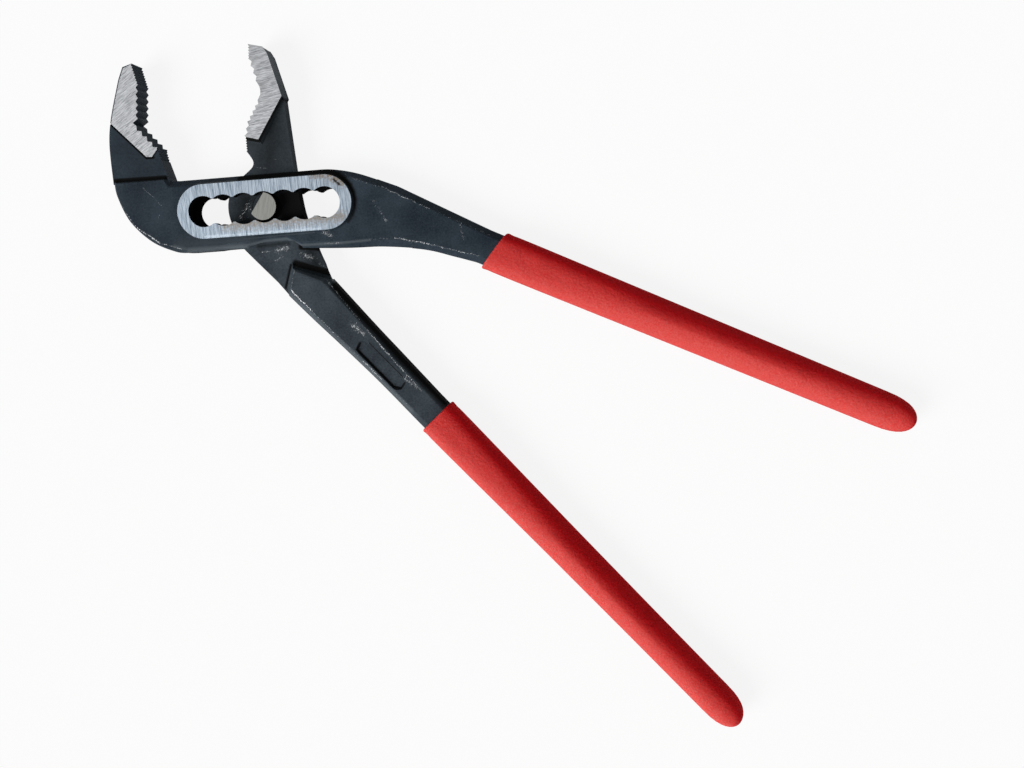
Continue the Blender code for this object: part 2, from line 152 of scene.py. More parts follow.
def solid_from_rings(name, rings):
    """A closed solid: a filled circle laid on the first ring, then extruded from ring to ring."""
    bpy.ops.object.select_all(action="DESELECT")
    bpy.ops.mesh.primitive_circle_add(vertices=len(rings[0]), fill_type="NGON")
    solid = bpy.context.object
    solid.name = name
    solid.data.name = name
    for vertex, place in zip(solid.data.vertices, rings[0]):
        vertex.co = place * MM
    bpy.ops.object.mode_set(mode="EDIT")
    bpy.ops.mesh.select_all(action="SELECT")
    for ring in rings[1:]:
        bpy.ops.mesh.extrude_region_move()
        edit = bmesh.from_edit_mesh(solid.data)
        front = [vertex for vertex in edit.verts if vertex.select]
        for vertex, place in zip(front, ring):
            vertex.co = place * MM
        bmesh.update_edit_mesh(solid.data)
    bpy.ops.mesh.select_all(action="SELECT")
    bpy.ops.mesh.normals_make_consistent(inside=False)
    bpy.ops.object.mode_set(mode="OBJECT")
    return solid


def level_ring(outline, height):
    """The points of an outline, all at one height."""
    return [Vector((*point.xy, height)) for point in outline]


def plate(name, outline, low, high):
    """A plain plate between two heights."""
    return solid_from_rings(name, [level_ring(outline, low), level_ring(outline, high)])


def forged_plate(name, outline, thickness):
    """A plate about the middle with softened chamfers; its outline runs clockwise."""
    inward = []
    for before, point, after in zip([outline[-1], *outline], outline, [*outline[1:], outline[0]]):
        come = (before - point).to_2d().normalized()
        leave = (point - after).to_2d().normalized()
        across = (come.orthogonal() + leave.orthogonal()).normalized()
        inward.append(across / max(across.dot(leave.orthogonal()), SHARPEST_MITRE))
    rings = []
    for side, steps in ((-1, reversed(RIM_STEPS)), (1, RIM_STEPS)):
        face = MIDDLE + side * thickness / 2
        for inset, drop in steps:
            rings.append([
                Vector((*(point.xy + way * inset * point.z), face - side * drop * point.z))
                for point, way in zip(outline, inward)
            ])
    return solid_from_rings(name, rings)


def combine(piece, tool, operation):
    """Join a tool to a piece, or cut it out of it, for good."""
    change = piece.modifiers.new(tool.name, "BOOLEAN")
    change.operation = operation
    change.solver = "EXACT"
    change.object = tool
    bpy.context.view_layer.objects.active = piece
    bpy.ops.object.modifier_apply(modifier=change.name)
    bpy.data.objects.remove(tool)


def cut_both_faces(piece, name, outline, half_height):
    """Take the metal off a piece outside two planes that lie half_height from its middle."""
    combine(piece, plate(name, outline, MIDDLE + half_height, PAD_TOP + OVERRUN), "DIFFERENCE")
    combine(piece, plate(name, outline, -OVERRUN, MIDDLE - half_height), "DIFFERENCE")


def cut_through(piece, name, outline):
    """Cut an outline right through a piece."""
    combine(piece, plate(name, outline, -OVERRUN, PAD_TOP + OVERRUN), "DIFFERENCE")


class Handle:
    """The straight axis of a handle, counted from the middle of its grip's mouth."""

    length = 156.0
    tip_length = 13.0
    straight = length - tip_length
    width_mouth = 14.7
    width_tip = 12.7
    shell = 1.3
    tip_coat = 6.0
    tip_rim = 3.2
    tip_steps = 12

    def __init__(self, mouth, angle, slant, tip_trim):
        self.mouth = mouth
        self.slant = math.radians(slant)
        self.tip_trim = tip_trim
        self.heading = angle
        self.axis = direction(angle)
        self.side = Vector((-self.axis.y, self.axis.x, 0.0))

    def at(self, along, across, rim=SHARP_RIM):
        """A point beside the axis, with the width of the chamfer there."""
        return Vector((*(self.mouth + self.axis * along + self.side * across).xy, rim))

    def half_width(self, along):
        """Half the width of the coat, which narrows from its mouth to its tip."""
        share = min(max(along / self.straight, 0.0), 1.0)
        return (self.width_mouth + (self.width_tip - self.width_mouth) * share) / 2

    def tang(self, start, rim):
        """The bar in the grip: left side, tip, right side; its chamfers widen towards the tip."""
        reach = self.tip_length - self.tip_coat
        half_tip = self.half_width(self.straight) - self.shell
        half_start = self.half_width(start) - self.shell
        points = [self.at(start, half_start, rim)]
        for step in range(self.tip_steps + 1):
            turn = math.pi / 2 - math.pi * step / self.tip_steps
            along = self.straight + reach * math.cos(turn)
            points.append(self.at(along, half_tip * math.sin(turn), self.tip_rim))
        return [*points, self.at(start, -half_start, rim)]


slotted_handle = Handle(arm_end(57.1, -20.7), angle=-26.1, slant=15.0, tip_trim=0.2)
inner_handle = Handle(spot(54.2, -77.5), angle=-49.4, slant=0.0, tip_trim=1.2)
TANG_LEAD = 4.0


def box_and_arm_outline():
    """The box and the upper arm, clockwise from the heel below the left jaw."""
    heel = smooth([
        spot(-SLOT_REACH - 7.6, BOX_BOTTOM, HEEL_RIM),
        jaw_end(-12.2, -13.1, HEEL_RIM),
        jaw_end(-20.5, -9.0, HEEL_RIM),
        jaw_end(-27.7, -1.5, HEEL_RIM),
        jaw_end(-31.4, 7.4, HEEL_RIM),
        jaw_end(-32.3, 13.2, STEP_RIM),
    ])
    throat = [jaw_end(-13.3, 13.2, STEP_RIM), spot(-SLOT_REACH - 11.5, BOX_TOP, WIDE_RIM)]
    shoulder = smooth([
        spot(SLOT_REACH - 4.0, BOX_TOP, WIDE_RIM),
        arm_end(3.0, 11.3, WIDE_RIM),
        arm_end(12.2, 9.1, WIDE_RIM),
        arm_end(24.9, 3.9, WIDE_RIM),
    ])
    tang = slotted_handle.tang(-TANG_LEAD, WIDE_RIM)
    underside = smooth([
        tang.pop(),
        arm_end(43.4, -21.9, WIDE_RIM),
        arm_end(33.0, -18.7, WIDE_RIM),
        arm_end(18.1, -16.6, WIDE_RIM),
        arm_end(3.2, -16.0, WIDE_RIM),
        spot(-SLOT_REACH + 12.0, BOX_BOTTOM, WIDE_RIM),
        spot(-SLOT_REACH + 2.0, BOX_BOTTOM, HEEL_RIM),
    ])
    return heel + throat + shoulder + tang + underside


def pad_outline(radius):
    """A long round-ended outline about the slot."""
    left = arc(Vector((-SLOT_REACH, 0.0)), radius, 90, 270, PAD_STEPS)
    right = arc(Vector((SLOT_REACH, 0.0)), radius, -90, 90, PAD_STEPS)
    return left + right


def raised_pad():
    """The pad around the slot: proud of both faces, with flanks that slope a little."""
    slope = ((0.0, 0.0), (0.08, 0.08), (0.35, 0.8), (0.6, 1.3))
    levels = [*slope, *((grow, PAD_TOP - depth) for grow, depth in reversed(slope))]
    rings = [level_ring(pad_outline(PAD_RADIUS + grow), height) for grow, height in levels]
    return solid_from_rings("raised_pad", rings)


def notched_slot():
    """Round notches along both sides, with blunt cusps between them."""
    bite = math.degrees(math.asin(CUSP_OPENING / 2 / NOTCH_RADIUS))
    points = []
    for notch in range(NOTCHES):
        start = 180.0 if notch == 0 else 180.0 + bite
        end = 360.0 if notch == NOTCHES - 1 else 360.0 - bite
        centre = Vector((notch * NOTCH_PITCH - SLOT_REACH, 0.0))
        points += arc(centre, NOTCH_RADIUS, start, end, NOTCH_STEPS)
    other_side = [Vector((-point.x, -point.y, point.z)) for point in points]
    return points[:-1] + other_side[:-1]


def slotted_jaw_teeth():
    """The left jaw's teeth from its tip to the throat: fine, coarse, a stair, and fine again."""
    fine_end = jaw_end(-19.4, 45.4)
    coarse_end = jaw_end(-20.8, 33.8)
    stair_start = jaw_end(-21.6, 31.4)
    stair_end = jaw_end(-14.9, 23.5)
    lower_end = jaw_end(-14.1, 19.0)
    return (
        teeth(jaw_end(-20.9, 52.4), fine_end, 8, FINE_TOOTH)[:-1]
        + teeth(fine_end, coarse_end, 5, COARSE_TOOTH)
        + [jaw_end(-22.8, 32.5)]
        + teeth(stair_start, stair_end, 4, STAIR_TOOTH)[:-1]
        + teeth(stair_end, lower_end, 5, FINE_TOOTH)
        + [jaw_end(-12.2, 12.2)]
    )


def neck_jaw_side():
    """The inner lever's thin part from its jaw down to its arm, on the side of the other jaw."""
    return [
        *teeth(spot(-5.1, 24.2), spot(-5.2, 19.8), 5, -FINE_TOOTH),
        *smooth([spot(-4.2, 18.3), spot(-3.2, 16.1), spot(-3.9, 14.0), spot(-7.4, 11.3)]),
        *arc(Vector((0.0, 0.0)), HUB_RADIUS, 142, 200, HUB_STEPS),
        *smooth([spot(-11.6, -10.8), spot(-9.8, -13.6), spot(1.6, -26.4)]),
    ]


def neck_handle_side():
    """The same thin part from its arm up to its jaw, on the side of the handles."""
    return smooth([
        spot(18.4, -20.8),
        spot(16.6, -16.1),
        spot(12.9, -4.6),
        spot(11.6, 4.2),
        spot(10.8, 12.3),
        spot(9.4, 37.0),
    ])


def window_outline():
    """The window between the cheeks, as wide as the neck sweeps at both ends of the slot."""
    ceiling = BOX_TOP + OVERRUN
    floor = BOX_BOTTOM - 2 * OVERRUN
    shift = SLOT_REACH + WINDOW_PLAY
    left_closed = swing(neck_jaw_side(), CLOSING_SWING, -shift)
    left_opened = swing(neck_jaw_side(), -OPENING_SWING, -shift)
    right_closed = swing(neck_handle_side(), CLOSING_SWING, shift)
    right_opened = swing(neck_handle_side(), -OPENING_SWING, shift)
    left = [point for point in left_closed if 0.0 <= point.y <= BOX_TOP + 1.0]
    left += [point for point in left_opened if floor < point.y < 0.0]
    right = [point for point in right_closed if point.y < 0.0]
    right += [point for point in right_opened if 0.0 <= point.y < ceiling]
    bottom = [spot(left[-1].x, floor), spot(right[0].x + 2 * OVERRUN, floor)]
    top = [spot(right[-1].x, ceiling), spot(left[0].x, ceiling)]
    return left + bottom + right + top


slotted_lever = forged_plate("slotted_lever_forging", box_and_arm_outline(), BAR_THICKNESS)
left_jaw = [
    *smooth([
        jaw_end(-32.6, 12.0, HEEL_RIM),
        jaw_end(-32.5, 25.5, HEEL_RIM),
        jaw_end(-30.8, 34.9, HEEL_RIM),
        jaw_end(-26.6, 47.6, HEEL_RIM),
    ]),
    jaw_end(-24.6, 51.8, HEEL_RIM),
    jaw_end(-20.9, 52.6),
    jaw_end(-12.0, 52.6),
    jaw_end(-12.0, 9.0),
    jaw_end(-28.0, 9.0),
]

# Below the ground jaw side a flank is set back, with a narrow groove where the grinding stopped
FLANK_DEPTH = 0.6
GROOVE_DEPTH = 1.1
GROOVE_SHIFT = Vector((-0.35, -0.4, 0.0))
pad_edge = [jaw_end(-36.0, 38.5), jaw_end(-19.2, 20.5), jaw_end(-17.2, 20.4), jaw_end(-15.1, 22.8)]
flank = [*pad_edge, jaw_end(-5.0, 22.8), jaw_end(-5.0, 5.0), jaw_end(-36.0, 5.0)]
groove = [*pad_edge, *(point + GROOVE_SHIFT for point in reversed(pad_edge))]
jaw = forged_plate("left_jaw", left_jaw, JAW_THICKNESS)
cut_both_faces(jaw, "jaw_flank", flank, JAW_THICKNESS / 2 - FLANK_DEPTH)
cut_both_faces(jaw, "jaw_groove", groove, JAW_THICKNESS / 2 - GROOVE_DEPTH)
combine(slotted_lever, jaw, "UNION")
combine(slotted_lever, raised_pad(), "UNION")
mouth = slotted_jaw_teeth() + [jaw_end(5.0, 12.2), jaw_end(5.0, 60.0), jaw_end(-20.9, 60.0)]
cut_through(slotted_lever, "slotted_jaw_mouth", mouth)
window_half = NECK_THICKNESS / 2 + RUNNING_GAP
window = plate("window", window_outline(), MIDDLE - window_half, MIDDLE + window_half)
combine(slotted_lever, window, "DIFFERENCE")
cut_through(slotted_lever, "adjusting_slot", notched_slot())

# Over the neck the lower edge of each cheek is cut back with a sloping edge
RELIEF_SLOPE = Vector((0.0, 1.6, 0.0))
relief = [
    spot(-10.4, -14.6),
    spot(-3.5, -12.2),
    spot(8.4, -12.2),
    spot(11.6, -14.6),
    spot(11.6, -24.0),
    spot(-10.4, -24.0),
]
relief_top = [point + RELIEF_SLOPE for point in relief]
relief_levels = (
    (relief, window_half - OVERLAP),
    (relief_top, BAR_THICKNESS / 2),
    (relief_top, PAD_TOP),
)
for side in (1, -1):
    rings = [level_ring(outline, MIDDLE + side * height) for outline, height in relief_levels]
    combine(slotted_lever, solid_from_rings("cheek_relief", rings), "DIFFERENCE")


def add_node(tree, kind, inputs=(), **settings):
    """A node with its settings and inputs; an input is a value or another node's socket."""
    node = tree.nodes.new(kind)
    for name, value in settings.items():
        setattr(node, name, value)
    for name, value in dict(inputs).items():
        if isinstance(value, bpy.types.NodeSocket):
            tree.links.new(value, node.inputs[name])
        else:
            node.inputs[name].default_value = value
    return node


def maths(tree, operation, first, second=0.0, clamp=False):
    inputs = {0: first, 1: second}
    return add_node(tree, "ShaderNodeMath", inputs, operation=operation, use_clamp=clamp).outputs[0]


def vector_maths(tree, operation, first, second):
    inputs = {0: first, 1: second}
    return add_node(tree, "ShaderNodeVectorMath", inputs, operation=operation).outputs


def scaled(tree, vector, share):
    inputs = {0: vector, "Scale": share}
    return add_node(tree, "ShaderNodeVectorMath", inputs, operation="SCALE").outputs[0]


def spread(tree, value, low, high, bottom=0.0, top=1.0):
    """A value spread from one range over another and kept inside it."""
    inputs = {0: value, 1: low, 2: high, 3: bottom, 4: top}
    return add_node(tree, "ShaderNodeMapRange", inputs).outputs[0]


def object_place(tree):
    return add_node(tree, "ShaderNodeTexCoord").outputs["Object"]


def object_normal(tree):
    return add_node(tree, "ShaderNodeTexCoord").outputs["Normal"]


def turned(tree, place, degrees):
    """Coordinates turned in plan, so that the first one runs along an angle."""
    inputs = {"Vector": place, "Rotation": (0.0, 0.0, -math.radians(degrees))}
    return add_node(tree, "ShaderNodeMapping", inputs).outputs[0]


def noise(tree, place, scale, detail=2.0, roughness=0.5):
    inputs = {"Vector": place, "Scale": scale, "Detail": detail, "Roughness": roughness}
    return add_node(tree, "ShaderNodeTexNoise", inputs).outputs["Fac"]


def blend_colour(tree, share, first, second):
    inputs = {0: share, 6: first, 7: second}
    return add_node(tree, "ShaderNodeMix", inputs, data_type="RGBA").outputs[2]


def blend_value(tree, share, first, second):
    return add_node(tree, "ShaderNodeMix", {0: share, 2: first, 3: second}).outputs[0]


def add_bump(tree, shader, height, strength, distance):
    """Let a pattern of heights roughen the surface."""
    inputs = {"Height": height, "Strength": strength, "Distance": distance}
    bump = add_node(tree, "ShaderNodeBump", inputs)
    tree.links.new(bump.outputs[0], shader.inputs["Normal"])


def new_material(name):
    """An empty Principled material; returns it with its tree and its shader."""
    material = bpy.data.materials.new(name)
    material.use_nodes = True
    return material, material.node_tree, material.node_tree.nodes["Principled BSDF"]


def wear_group():
    """How near a point is to a stretch of wear, stain, painted shade or painted highlight, in plan: 1
    on the line, 0 at its width.
    """
    tree = bpy.data.node_groups.new("stretch_nearness", "ShaderNodeTree")
    sockets = {"Place": "Vector", "Start": "Vector", "End": "Vector", "Width": "Float"}
    for name, kind in sockets.items():
        tree.interface.new_socket(name, in_out="INPUT", socket_type=f"NodeSocket{kind}")
    tree.interface.new_socket("Nearness", in_out="OUTPUT", socket_type="NodeSocketFloat")
    given = tree.nodes.new("NodeGroupInput").outputs
    flat = vector_maths(tree, "MULTIPLY", given["Place"], (1.0, 1.0, 0.0))[0]
    offset = vector_maths(tree, "SUBTRACT", flat, given["Start"])[0]
    run = vector_maths(tree, "SUBTRACT", given["End"], given["Start"])[0]
    along = vector_maths(tree, "DOT_PRODUCT", offset, run)["Value"]
    whole = vector_maths(tree, "DOT_PRODUCT", run, run)["Value"]
    share = maths(tree, "DIVIDE", along, whole, clamp=True)
    away = vector_maths(tree, "DISTANCE", offset, scaled(tree, run, share))["Value"]
    far = maths(tree, "DIVIDE", away, given["Width"])
    near = maths(tree, "SUBTRACT", 1.0, far, clamp=True)
    result = tree.nodes.new("NodeGroupOutput")
    tree.links.new(near, result.inputs[0])
    return tree


stretch_nearness = wear_group()


def nearness(tree, place, stretches):
    """The greatest nearness to any of the stretches: (start, end, width, amount) in millimetres."""
    total = 0.0
    for start, end, width, amount in stretches:
        group = add_node(tree, "ShaderNodeGroup", node_tree=stretch_nearness)
        tree.links.new(place, group.inputs["Place"])
        group.inputs["Start"].default_value = (start[0] * MM, start[1] * MM, 0.0)
        group.inputs["End"].default_value = (end[0] * MM, end[1] * MM, 0.0)
        group.inputs["Width"].default_value = width * MM
        level = maths(tree, "MULTIPLY", group.outputs[0], amount)
        total = maths(tree, "MAXIMUM", total, level)
    return total


BLACK_DEEP = (0.009, 0.014, 0.020, 1.0)
BLACK_PALE = (0.031, 0.043, 0.056, 1.0)
# Tones of the painted shade and of the painted highlights on the black finish
SHADE_BLACK = (0.005, 0.005, 0.005, 1.0)
HIGHLIGHT_TONE = (0.079, 0.095, 0.106, 1.0)
BARE_STEEL = (0.40, 0.41, 0.42, 1.0)

# Scales of noise, in patches per metre
CLOUD_SCALE = 70.0
GRAIN_SCALE = 1500.0
FLECK_SCALE = 2100.0
WAVER_SCALE = 500.0
SCRATCH_SCALE = (650.0, 3900.0, 650.0)
STAIN_SCALE = 1400.0

# How patterns turn into looks: shares and levels of noise, and reaches in metres
CLOUD_SHARE = 0.62
STREAK_SHARE = 0.82
BAND_STRETCH = 0.4
NOISE_LOW = 0.36
NOISE_HIGH = 0.64
WAVER_REACH = 0.0012
SCRATCH_ANGLES = (28.0, 64.0)
FLECK_LEVEL = 0.80
WEAR_GAIN = 0.34
WEAR_CONTRAST = 9.0
FACING_GAIN = 2.5
COVER_GAIN = 2.0
STAIN_LEVEL = 0.75
STAIN_CONTRAST = 2.2
OUT_OF_REACH = 0.02
BLACK_ROUGHNESS = (0.45, 0.6)
SHADE_ROUGHNESS = 1.0
BARE_ROUGHNESS = 0.5


def wavering(tree, place):
    """A place shaken a little, so that worn stretches have ragged borders."""
    inputs = {"Vector": place, "Scale": WAVER_SCALE, "Detail": 3.0}
    shake = add_node(tree, "ShaderNodeTexNoise", inputs).outputs["Color"]
    shake = vector_maths(tree, "SUBTRACT", shake, (0.5, 0.5, 0.5))[0]
    return vector_maths(tree, "ADD", place, scaled(tree, shake, WAVER_REACH))[0]


def scratches(tree, place, degrees):
    """Noise drawn out into fine hairs along one direction in plan."""
    drawn_out = vector_maths(tree, "MULTIPLY", turned(tree, place, degrees), SCRATCH_SCALE)[0]
    return noise(tree, drawn_out, 1.0, 3.0, 0.65)


def worn_share(tree, place, stretches):
    """Where the finish has gone: flecks and scratches, the more the nearer to a worn stretch."""
    near = nearness(tree, wavering(tree, place), stretches)
    upright = vector_maths(tree, "DOT_PRODUCT", object_normal(tree), (0.0, 0.0, 1.0))["Value"]
    facing = maths(tree, "MULTIPLY", maths(tree, "ABSOLUTE", upright), FACING_GAIN, clamp=True)
    near = maths(tree, "MULTIPLY", near, facing)
    fleck = noise(tree, place, FLECK_SCALE, 4.0, 0.7)
    for degrees in SCRATCH_ANGLES:
        fleck = maths(tree, "MAXIMUM", fleck, scratches(tree, place, degrees))
    needed = maths(tree, "SUBTRACT", FLECK_LEVEL, maths(tree, "MULTIPLY", near, WEAR_GAIN))
    above = maths(tree, "SUBTRACT", fleck, needed)
    worn = maths(tree, "MULTIPLY", above, WEAR_CONTRAST, clamp=True)
    return maths(tree, "MULTIPLY", worn, maths(tree, "GREATER_THAN", near, OUT_OF_REACH))


def covered_share(tree, place, stretches):
    """A cover that is full in the middle of each stretch and fades towards its sides."""
    return maths(tree, "MULTIPLY", nearness(tree, place, stretches), COVER_GAIN, clamp=True)


def black_finish(name, deep, pale, stretches, shade_stretches, highlight_stretches=(), shine=0.05):
    """Thin black finish on forged steel: matte, mottled, bare where worn, with painted shade and
    painted highlights along given stretches.
    """
    material, tree, shader = new_material(name)
    place = object_place(tree)
    cloud = noise(tree, place, CLOUD_SCALE, 4.0, 0.6)
    grain = noise(tree, place, GRAIN_SCALE, 3.0, 0.6)
    mottle = spread(tree, blend_value(tree, CLOUD_SHARE, grain, cloud), NOISE_LOW, NOISE_HIGH)
    worn = worn_share(tree, place, stretches)
    # Painted shade and painted highlights, each along its own stretches
    shade = covered_share(tree, place, shade_stretches)
    highlight = covered_share(tree, place, highlight_stretches)
    finish = blend_colour(tree, highlight, blend_colour(tree, mottle, deep, pale), HIGHLIGHT_TONE)
    finish = blend_colour(tree, shade, finish, SHADE_BLACK)
    colour = blend_colour(tree, worn, finish, BARE_STEEL)
    tree.links.new(colour, shader.inputs["Base Color"])
    tree.links.new(worn, shader.inputs["Metallic"])
    rough = blend_value(tree, mottle, *BLACK_ROUGHNESS)
    rough = blend_value(tree, shade, rough, SHADE_ROUGHNESS)
    rough = blend_value(tree, worn, rough, BARE_ROUGHNESS)
    tree.links.new(rough, shader.inputs["Roughness"])
    shader.inputs["Specular IOR Level"].default_value = shine
    add_bump(tree, shader, grain, strength=0.3, distance=0.00012)
    return material


def speckled_patch(tree, place, colour, stretches, patch_colour):
    """A colour with a speckled patch along the given stretches: a stain, or on the pad's lower edge a
    painted highlight.
    """
    near = nearness(tree, place, stretches)
    speck = noise(tree, place, STAIN_SCALE, 3.0)
    above = maths(tree, "SUBTRACT", maths(tree, "ADD", near, speck), STAIN_LEVEL)
    share = maths(tree, "MULTIPLY", above, STAIN_CONTRAST, clamp=True)
    share = maths(tree, "MULTIPLY", share, maths(tree, "GREATER_THAN", near, OUT_OF_REACH))
    return blend_colour(tree, share, colour, patch_colour)


def ground_steel(name, angle, dark, pale, roughness, stains_and_highlights=(), streaks=(150.0, 3200.0)):
    """Steel ground bright on a wheel: streaks per metre along and across one direction in plan."""
    material, tree, shader = new_material(name)
    place = object_place(tree)
    scale = (*streaks, streaks[0])
    along = vector_maths(tree, "MULTIPLY", turned(tree, place, angle), scale)[0]
    streak = noise(tree, along, 1.0, 4.0, 0.7)
    band = noise(tree, scaled(tree, along, BAND_STRETCH), 1.0, 2.0)
    level = spread(tree, blend_value(tree, STREAK_SHARE, band, streak), NOISE_LOW, NOISE_HIGH)
    colour = blend_colour(tree, level, dark, pale)
    # Stains, and on the pad a painted highlight
    for stretches, patch_colour in stains_and_highlights:
        colour = speckled_patch(tree, place, colour, stretches, patch_colour)
    tree.links.new(colour, shader.inputs["Base Color"])
    shader.inputs["Metallic"].default_value = 1.0
    rough = blend_value(tree, streak, roughness + 0.12, roughness - 0.08)
    tree.links.new(rough, shader.inputs["Roughness"])
    add_bump(tree, shader, streak, strength=0.25, distance=0.00002)
    return material


SMOOTH_BELOW = 32.0
FLAT_ENOUGH = 0.99
HEIGHT_PLAY = 0.02


def dress(piece, finishes):
    """Give each face the first finish whose test holds there, and smooth the rims."""
    for material, _ in finishes:
        piece.data.materials.append(material)
    for face in piece.data.polygons:
        middle = face.center / MM
        face.material_index = next(
            index for index, (_, test) in enumerate(finishes) if test(middle, face.normal)
        )
    bpy.ops.object.select_all(action="DESELECT")
    piece.select_set(True)
    bpy.context.view_layer.objects.active = piece
    bpy.ops.object.shade_smooth_by_angle(angle=math.radians(SMOOTH_BELOW))
    weigh = piece.modifiers.new("even_normals", "WEIGHTED_NORMAL")
    weigh.keep_sharp = True
    bpy.ops.object.modifier_apply(modifier=weigh.name)


def on_face(half_height):
    """A test for faces that lie flat at a height from the middle, on either side."""
    def test(middle, normal):
        off_plane = abs(abs(middle.z - MIDDLE) - half_height)
        return abs(normal.z) > FLAT_ENOUGH and off_plane < HEIGHT_PLAY
    return test


def anywhere(middle, normal):
    """A test that always holds."""
    return True


# Where the black finish is worn through, along the rims and in scuffed patches
SLOTTED_WEAR = [
    ((29.5, 8.9), (36.0, 5.6), 1.2, 0.66),
    ((36.0, 5.6), (42.1, 3.6), 0.7, 0.6),
    ((42.1, 3.6), (57.8, -4.9), 0.8, 0.8),
    ((57.8, -4.9), (79.2, -16.0), 0.7, 0.6),
    ((30.0, -13.6), (45.1, -14.0), 0.7, 0.6),
    ((45.1, -14.0), (57.0, -17.0), 0.8, 0.85),
    ((38.6, -0.8), (42.5, -8.0), 2.4, 0.62),
    ((68.0, -11.0), (69.0, -16.5), 1.3, 0.66),
    ((57.0, -17.0), (74.0, -22.2), 0.8, 0.7),
    ((20.4, -10.2), (22.6, -11.6), 3.0, 0.78),
    ((20.2, -14.1), (25.9, -14.2), 0.6, 0.75),
    ((-52.4, 6.0), (-50.9, 2.4), 0.5, 0.6),
    ((-50.9, 2.4), (-47.3, -3.6), 0.6, 0.75),
    ((-47.3, -3.6), (-39.2, -9.6), 0.7, 0.95),
    ((-39.2, -9.6), (-31.4, -12.3), 0.6, 0.8),
    ((-43.2, 9.9), (-36.7, 2.8), 0.3, 0.75),
    ((-37.7, 1.4), (-39.2, -2.2), 0.3, 0.7),
]

# Painted highlights: the cheek's lower rims and the slopes that face the lamp are painted paler
SLOTTED_HIGHLIGHTS = [
    ((-34.0, -11.2), (-28.9, -12.8), 1.2, 0.35),
    ((-28.9, -12.8), (-8.4, -13.0), 1.5, 0.5),
    ((-32.0, -10.8), (-6.0, -11.0), 4.0, 0.12),
    ((-8.4, -12.7), (-1.5, -11.6), 0.8, 0.45),
    ((-1.5, -11.6), (6.4, -11.4), 0.8, 0.45),
    ((6.4, -11.4), (10.9, -13.9), 0.8, 0.45),
    ((10.9, -14.0), (25.9, -14.3), 0.7, 0.4),
    ((25.9, -14.3), (36.2, -14.0), 0.7, 0.35),
    ((-8.6, -10.4), (16.7, -10.0), 0.4, 0.2),
]

# Ground steel, what has stained it on the pad, and a painted highlight along the pad's lower edge
JAW_DARK = (0.145, 0.15, 0.158, 1.0)
JAW_PALE = (0.46, 0.47, 0.485, 1.0)
PAD_DARK = (0.082, 0.110, 0.142, 1.0)
PAD_PALE = (0.395, 0.45, 0.51, 1.0)
RUST = (0.15, 0.115, 0.08, 1.0)
TARNISH = (0.183, 0.167, 0.15, 1.0)
PAINTED_RIM_HIGHLIGHT = (0.42, 0.48, 0.55, 1.0)
PIT = (0.02, 0.018, 0.016, 1.0)
pad_stains_and_highlight = [
    ([((18.0, 9.2), (24.0, 8.9), 2.2, 0.6), ((24.0, 8.9), (28.6, 6.4), 4.0, 0.62)], RUST),
    ([((-14.0, -5.2), (27.0, -5.2), 4.6, 0.65)], TARNISH),
    # A painted highlight along the pad's lower edge
    ([((-22.0, -8.8), (20.0, -8.8), 1.2, 0.5)], PAINTED_RIM_HIGHLIGHT),
    ([((25.6, 7.4), (27.6, 5.6), 0.9, 0.8)], PIT),
]

# Painted shade: in the step between heel and jaw, in and below the groove under the jaw's ground side,
# and along the pad's upper flank
CORNER_SHADE = [
    ((-53.5, 13.2), (-35.2, 13.0), 1.1, 1.0),
    ((-49.0, 24.0), (-41.0, 16.0), 9.0, 0.16),
    ((-55.8, 36.0), (-41.2, 20.2), 0.7, 0.9),
    ((-41.2, 20.2), (-38.7, 20.2), 0.7, 0.9),
    ((-8.0, 10.6), (21.7, 10.6), 1.5, 0.9),
]

# Round the pad's end by the handles the painted shade thins out step by step
pad_shade = arc(Vector((SLOT_REACH, 0.0)), PAD_RADIUS + 1.0, 90, -45, 9)
for step, (start, end) in enumerate(zip(pad_shade, pad_shade[1:])):
    CORNER_SHADE.append((start, end, 1.7 - 0.12 * step, 0.9 - 0.06 * step))
forging_black = black_finish(
    "black_forging_slotted", BLACK_DEEP, BLACK_PALE, SLOTTED_WEAR, CORNER_SHADE, SLOTTED_HIGHLIGHTS
)
PAD_GRAIN = 92.0
PAD_ROUGHNESS = 0.42
pad_steel = ground_steel("ground_pad", PAD_GRAIN, PAD_DARK, PAD_PALE, PAD_ROUGHNESS, pad_stains_and_highlight)
LEFT_JAW_GRAIN = 32.0
JAW_ROUGHNESS = 0.44
JAW_STREAKS = (360.0, 3600.0)
jaw_steel = ground_steel(
    "ground_left_jaw", LEFT_JAW_GRAIN, JAW_DARK, JAW_PALE, JAW_ROUGHNESS, streaks=JAW_STREAKS
)
# Painted shade: the slot's walls and the window's faces are drawn near black
SLOT_SHADE = [((-30.0, 0.0), (30.0, 0.0), 60.0, 0.55)]
slot_shade = black_finish("shaded_slot", SHADE_BLACK, BLACK_DEEP, [], SLOT_SHADE, shine=0.0)


def in_slot(middle, normal):
    """A test for the walls of the slot and the faces of the window."""
    half_width = NOTCH_RADIUS + OVERLAP
    within = abs(middle.y) < half_width and abs(middle.x) < SLOT_REACH + half_width
    slot_wall = within and abs(normal.z) < 0.5
    window_face = abs(middle.z - MIDDLE) < window_half + OVERLAP and abs(normal.z) > 0.9
    return slot_wall or window_face


dress(slotted_lever, [
    (pad_steel, on_face(PAD_TOP / 2)),
    (jaw_steel, on_face(JAW_THICKNESS / 2)),
    # painted shade in the slot and the window
    (slot_shade, in_slot),
    (forging_black, anywhere),
])
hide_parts("slotted_lever")
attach(slotted_lever, "slotted_lever")


